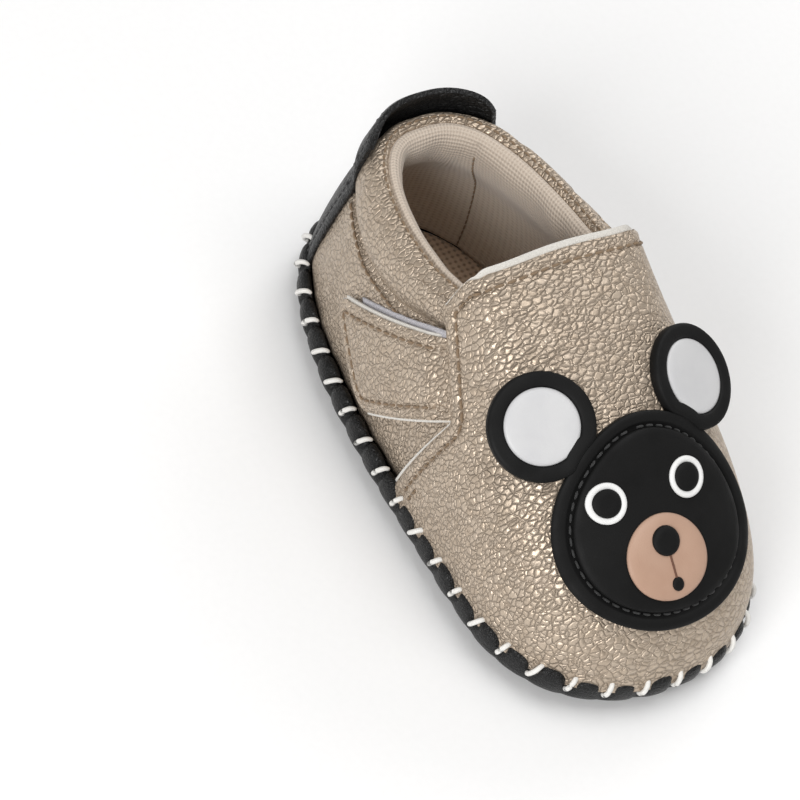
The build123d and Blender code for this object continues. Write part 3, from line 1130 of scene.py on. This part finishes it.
def tape_grid(corners, side, out):
    """A four-cornered patch of tape on the side of the form."""
    (ax, az), (bx, bz), (cx, cz), (dx, dz) = corners
    along = np.linspace(0, 1, 40)[:, None]
    across = np.linspace(0, 1, 30)[None, :]
    x = (ax + (bx - ax) * across) * (1 - along) + (dx + (cx - dx) * across) * along
    z = (az + (bz - az) * across) * (1 - along) + (dz + (cz - dz) * across) * along
    rng = np.random.default_rng(17)
    return side_point(x, z, out + 0.10 * rng.uniform(-1, 1, x.shape), side)


def build_strap(side, sign):
    name = f"strap_{side}"
    points = strap_grid(sign, strap_out(2.75), 0.0, 90, 72)
    normals = -sign * surface_normals(points)
    boundary = dense_line(np.concatenate([points[14:, 0], points[-1], points[14:, -1][::-1]]))
    sink = edge_profile(points, boundary, 0.5, 2.4, 0.40)
    points = points - normals * sink[..., None]
    leather = grid_piece(f"{name}_leather", points, champagne, 0.95, flip=sign > 0)
    line, line_normals = inset_line(boundary, points, normals, 2.4)
    stitch = topstitch(f"{name}_stitch", line, line_normals, brown_thread, 2.4, 1.9, 0.30, 0.08)
    foam_points = strap_grid(sign, strap_out(1.85), 0.55, 60, 50)
    foam = grid_piece(f"{name}_foam", foam_points, foam_edge, 0.7, 0.15, flip=sign > 0)
    corners = [(-9.0, 37.4), (-2.6, 27.6), (-13.2, 17.0), (-27.6, 25.4)]
    hook_points = tape_grid(corners, sign, 1.1)
    hook = grid_piece(f"{name}_hook_tape", hook_points, hook_fuzz, 0.4, 0.0, flip=sign > 0)
    bend_start = side_point(np.array([1.4]), np.array([36.8]), np.array([1.0]), sign)[0]
    bend_end = side_point(np.array([-3.4]), np.array([33.2]), np.array([1.6]), sign)[0]
    for piece in (leather, stitch, foam, hook):
        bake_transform(piece)
    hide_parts(name)
    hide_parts(f"strap_hook_{side}")


for side, sign in (("left", 1), ("right", -1)):
    build_strap(side, sign)
    loop_corners = [(-5.6, 42.4), (-1.5, 28.0), (-12.6, 16.9), (-27.6, 28.0)]
    loop_points = tape_grid(loop_corners, sign, 0.75)
    loop = grid_piece(f"loop_tape_{side}", loop_points, hook_fuzz, 0.6, 0.0, flip=sign > 0)
    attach(loop, "root")
    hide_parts(f"loop_patch_{side}")

# ---------------------------------------------------------------- bear applique
# A moulded rubber face sits on the vamp: a ridge, a stitched groove and a raised face. Two
# round ears stand off the leather behind it, each with a pale insert.
face_origin = np.array([40.0, 0.0, 31.5])
face_tilt = math.radians(38)
face_normal = np.array([math.sin(face_tilt), 0.0, math.cos(face_tilt)])
face_up = np.array([-math.cos(face_tilt), 0.0, math.sin(face_tilt)])
face_half_width = 19.5
face_half_height = 20.0
face_press = 1.5
feature_shift = -1.3


def form_value(points):
    """Below 0 inside the foot form and above 0 outside it."""
    heel, toe, half, wide, heel_power, toe_power = level(points[..., 2])
    ahead = points[..., 0] >= wide
    power = np.where(ahead, toe_power, heel_power)
    run = np.where(ahead, toe - wide, wide - heel)
    reach = (np.abs(points[..., 0] - wide) / run) ** power + (np.abs(points[..., 1]) / half) ** power
    return reach ** (1 / power) - 1


def bear_point(across, up, out):
    """A point above the vamp: across and up on the face's plane, dropped on the form, then out."""
    across, up, out = np.broadcast_arrays(across, up, out)
    off_centre = (across / face_half_width) ** 2 + (up / face_half_height) ** 2
    out = out - face_press * np.maximum(0, 1 - off_centre)
    flat = face_origin + across[..., None] * np.array([0.0, 1.0, 0.0]) + up[..., None] * face_up
    low = np.full(across.shape, -30.0)
    high = np.full(across.shape, 30.0)
    for _ in range(36):
        middle = (low + high) / 2
        outside = form_value(flat + middle[..., None] * face_normal) > 0
        high = np.where(outside, middle, high)
        low = np.where(outside, low, middle)
    foot = flat + low[..., None] * face_normal
    steps = np.eye(3) * 0.3
    slope = np.stack([form_value(foot + step) - form_value(foot - step) for step in steps], -1)
    slope /= np.linalg.norm(slope, axis=-1)[..., None]
    return foot + slope * out[..., None]


def rubber_material(name, base, dark, roughness, specular=0.25):
    """Moulded rubber: even colour with a faint satin grain and slight dulling."""
    material, tree, shader = new_material(name, roughness, specular=specular)
    coordinates = tree.nodes.new("ShaderNodeTexCoord").outputs["Object"]
    grain = noise_node(tree, coordinates, 0.35, 3.0)
    cloud = noise_node(tree, coordinates, 6.0)
    colour = mix_node(tree, ramp_node(tree, cloud, 0.3, 0.8), base, dark)
    tree.links.new(colour, shader.inputs["Base Color"])
    gloss = ramp_node(tree, cloud, 0.3, 0.7, roughness * 0.9, roughness * 1.15)
    tree.links.new(gloss, shader.inputs["Roughness"])
    bump(tree, shader, grain, 0.035)
    return material


black_rubber = rubber_material(
    "black_rubber", (0.0075, 0.0075, 0.0075), (0.0055, 0.0055, 0.0055), 0.6, 0.16
)
pale_rubber = rubber_material("pale_rubber", (0.62, 0.62, 0.625), (0.58, 0.58, 0.59), 0.32)
white_rubber = rubber_material("white_rubber", (0.86, 0.86, 0.85), (0.80, 0.80, 0.79), 0.35)
snout_rubber = rubber_material("snout_rubber", (0.49, 0.32, 0.235), (0.45, 0.285, 0.205), 0.42)
line_rubber = rubber_material("line_rubber", (0.16, 0.08, 0.05), (0.13, 0.06, 0.04), 0.5)


def oval(phi, half_width, half_height, narrow, inset):
    """Across and up on an oval about its centre; phi 0 is its top, and narrow draws that in."""
    a = (half_width * (1 - narrow * np.cos(phi)) - inset) * np.sin(phi)
    b = (half_height - inset) * np.cos(phi)
    return a, b


def rubber_disc(name, centre, half_width, half_height, profile, material, narrow=0.0, spokes=96, fill=6):
    """A moulded disc on the vamp. Profile rows are (inset from its outline, height above the form)."""
    phi = np.arange(spokes) / spokes * 2 * np.pi
    rings = []
    for inset, out in profile:
        a, b = oval(phi, half_width, half_height, narrow, inset)
        rings.append(bear_point(centre[0] + a, centre[1] + b, out))
    inset, out = profile[-1]
    for k in range(1, fill):
        a, b = oval(phi, half_width, half_height, narrow, inset)
        shrink = 1 - k / fill
        rings.append(bear_point(centre[0] + a * shrink, centre[1] + b * shrink, out))
    points = np.stack(rings, 1)
    flat = points.reshape(-1, 3)
    columns = points.shape[1]
    faces = [f[::-1] for f in grid_faces(spokes, columns, wrap=True)]
    middle = bear_point(np.array([centre[0]]), np.array([centre[1]]), np.array([out]))
    flat = np.concatenate([flat, middle])
    last = len(flat) - 1
    for i in range(spokes):
        faces.append(((i + 1) % spokes * columns + columns - 1, i * columns + columns - 1, last))
    piece = make_mesh(name, flat, faces, material)
    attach(piece, "root")
    return piece


face_narrow = 0.10
base = rubber_disc(
    "bear_base_rubber", (0, 0), face_half_width, face_half_height,
    [
        (0.3, 2.0), (0.0, 2.3), (0.0, 3.3), (0.1, 3.9), (0.4, 4.15),
        (1.0, 4.2), (1.9, 4.15), (2.15, 3.95), (2.3, 3.5), (3.4, 3.4),
    ],
    black_rubber, face_narrow, 160, 4,
)
face = rubber_disc(
    "bear_face_rubber", (0, 0), face_half_width, face_half_height,
    [(3.2, 3.3), (3.15, 4.0), (3.25, 4.5), (3.6, 4.75), (4.4, 4.9), (6.0, 5.0), (9.0, 5.05)],
    black_rubber, face_narrow, 160, 8,
)
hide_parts("bear_base")
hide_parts("bear_face")
phi = np.linspace(0, 2 * np.pi, 361)
groove_a, groove_b = oval(phi, face_half_width, face_half_height, face_narrow, 2.75)
groove_line = bear_point(groove_a, groove_b, np.full(phi.shape, 3.62))
groove_normals = bear_point(groove_a, groove_b, np.full(phi.shape, 4.62)) - groove_line
face_stitch = topstitch("bear_face_stitch", groove_line, groove_normals, black_thread, 2.2, 1.5, 0.24, 0.03)
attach(face_stitch, "root")

snout_centre = (feature_shift, -6.9)
snout = rubber_disc(
    "bear_snout_rubber", snout_centre, 8.1, 7.8,
    [(0.3, 5.0), (0.0, 5.2), (0.1, 5.5), (0.6, 5.8), (1.6, 6.0), (3.0, 6.1)], snout_rubber, 0.04,
)
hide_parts("bear_snout")
nose = rubber_disc(
    "bear_nose_rubber", (feature_shift, -4.2), 2.8, 2.8,
    [(0.2, 6.0), (0.0, 6.2), (0.1, 6.5), (0.5, 6.8), (1.1, 6.95)], black_rubber, 0.0, 64, 4,
)
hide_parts("bear_nose")
mouth = rubber_disc(
    "bear_mouth_rubber", (feature_shift, -12.0), 1.2, 1.2,
    [(0.1, 6.0), (0.0, 6.15), (0.15, 6.4), (0.5, 6.5)], black_rubber, 0.0, 40, 3,
)
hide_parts("bear_mouth")
line_b = np.linspace(-6.6, -11.2, 14)
line_path = bear_point(np.full(14, feature_shift), line_b, np.full(14, 6.12))
line_tube = join_tubes("bear_muzzle_line", [tube(line_path, np.full(14, 0.22))], line_rubber)
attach(line_tube, "root")

for side, sign in (("left", 1), ("right", -1)):
    eye = (sign * 8.3 + feature_shift, 5.6)
    ring = rubber_disc(
        f"bear_eye_ring_{side}_rubber", eye, 3.6, 4.0,
        [(0.15, 5.0), (0.0, 5.2), (0.1, 5.5), (0.5, 5.65), (0.9, 5.6), (1.1, 5.35), (1.3, 5.3)],
        white_rubber, 0.0, 64, 3,
    )
    pupil = rubber_disc(
        f"bear_pupil_{side}_rubber", eye, 2.55, 2.8,
        [(0.1, 5.25), (0.0, 5.4), (0.15, 5.65), (0.6, 5.85), (1.2, 5.95)], black_rubber, 0.0, 64, 4,
    )
    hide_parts(f"bear_eye_ring_{side}")
    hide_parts(f"bear_pupil_{side}")


def ear_rings(sign, radius, profile):
    """Rings of an ear disc, cut short where it meets the face. Rows are (inset, height)."""
    spokes = 96
    fill = 4
    centre = np.array([20.6, sign * 17.3, 43.6])
    normal = np.array([0.47, sign * 0.30, 0.83])
    normal /= np.linalg.norm(normal)
    forward = np.cross(np.array([0.0, 1.0, 0.0]), normal)
    forward /= np.linalg.norm(forward)
    sideways = np.cross(normal, forward)
    phi = np.arange(spokes) / spokes * 2 * np.pi
    spoke = np.cos(phi)[:, None] * forward + np.sin(phi)[:, None] * sideways
    r = np.linspace(0, 1, 400)
    walk = centre + spoke[:, None, :] * (r[None, :, None] * radius)
    rel = walk - face_origin
    across = rel[..., 1]
    up = rel @ face_up
    wide = face_half_width * (1 - face_narrow * up / face_half_height) + 0.4
    inside = (across / wide) ** 2 + (up / (face_half_height + 0.4)) ** 2 < 1
    limit = np.where(inside.any(1), r[inside.argmax(1)], 1.0) * radius
    rings = []
    for inset, height in profile:
        rings.append(centre + spoke * np.maximum(limit - inset, 0.3)[:, None] + normal * height)
    inset, height = profile[-1]
    for k in range(1, fill):
        reach = np.maximum(limit - inset, 0.3) * (1 - k / fill)
        rings.append(centre + spoke * reach[:, None] + normal * height)
    return np.stack(rings, 1), centre + normal * height


def closed_disc(name, points, middle, material):
    """A disc closed at its middle and underneath, from rings of points."""
    spokes, columns = points.shape[:2]
    flat = np.concatenate([points.reshape(-1, 3), middle[None]])
    faces = grid_faces(spokes, columns, wrap=True)
    for i in range(spokes):
        faces.append((i * columns + columns - 1, (i + 1) % spokes * columns + columns - 1, len(flat) - 1))
    faces = [face[::-1] for face in faces]
    faces.append(tuple(range(0, spokes * columns, columns)))
    piece = make_mesh(name, flat, faces, material)
    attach(piece, "root")
    return piece


for side, sign in (("left", 1), ("right", -1)):
    profile = [(0.15, -1.1), (0.0, -0.9), (0.0, 0.0), (0.05, 0.65), (0.3, 0.92)]
    profile += [(0.9, 1.0), (2.5, 1.0), (2.85, 0.85), (3.0, 0.35), (3.6, 0.3)]
    points, middle = ear_rings(sign, 10.4, profile)
    ear = closed_disc(f"bear_ear_{side}_rubber", points, middle, black_rubber)
    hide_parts(f"bear_ear_{side}")
    profile = [(0.15, 0.2), (0.0, 0.5), (0.1, 0.75), (0.6, 0.95), (1.6, 1.05), (3.0, 1.1)]
    points, middle = ear_rings(sign, 7.35, profile)
    insert = closed_disc(f"bear_ear_insert_{side}_rubber", points, middle, pale_rubber)
    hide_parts(f"bear_ear_insert_{side}")

# ---------------------------------------------------------------- stage, light and camera
# White paper lies under the bootie. Three soft square lamps light it, and the camera looks
# down on it from beyond the toe, on its right-hand side.
white_paper = fibre_material(
    "white_paper", (0.93, 0.93, 0.93), (0.96, 0.96, 0.96), 1.5, 0, 0.9, 0.2, 0.0, 2.0, 0.5
)
reach = 3000.0
floor_corners = [(-reach, -reach, 0), (reach, -reach, 0), (reach, reach, 0), (-reach, reach, 0)]
floor = make_mesh("floor", floor_corners, [(0, 1, 2, 3)], white_paper, smooth=False)

world = bpy.data.worlds.new("studio")
world.use_nodes = True
world.node_tree.nodes["Background"].inputs["Color"].default_value = (1.0, 0.985, 0.97, 1.0)
world.node_tree.nodes["Background"].inputs["Strength"].default_value = 0.33
bpy.context.scene.world = world


def area_light(name, place, target, size, power, colour=(1.0, 1.0, 1.0)):
    """A soft square lamp aimed at a point; places and sizes are in metres."""
    data = bpy.data.lights.new(name, "AREA")
    data.size = size
    data.energy = power
    data.color = colour
    lamp = bpy.data.objects.new(name, data)
    bpy.context.scene.collection.objects.link(lamp)
    direction = Vector(target) - Vector(place)
    lamp.location = place
    lamp.rotation_euler = direction.to_track_quat("-Z", "Y").to_euler()


area_light("overhead", (0.05, 0.15, 1.10), (0, 0, 0.02), 0.80, 5.3)
area_light("key", (0.45, -0.85, 0.60), (0, 0, 0.03), 0.50, 7.5)
area_light("back", (-0.45, 0.75, 0.60), (0, 0, 0.03), 0.50, 2.3)

bpy.context.scene.view_settings.view_transform = "Standard"
camera_data = bpy.data.cameras.new("camera")
camera_data.lens = 192.4
camera_data.sensor_width = 36
camera = bpy.data.objects.new("camera", camera_data)
bpy.context.scene.collection.objects.link(camera)
camera.location = (0.3536, -0.4204, 0.6375)
camera_target = Vector((-0.0052, -0.0279, 0.025))
camera_roll = math.radians(21.5)
turned = (camera_target - camera.location).to_track_quat("-Z", "Y").to_matrix().to_4x4()
camera.matrix_world = Matrix.Translation(camera.location) @ turned @ Matrix.Rotation(camera_roll, 4, "Z")
bpy.context.scene.camera = camera
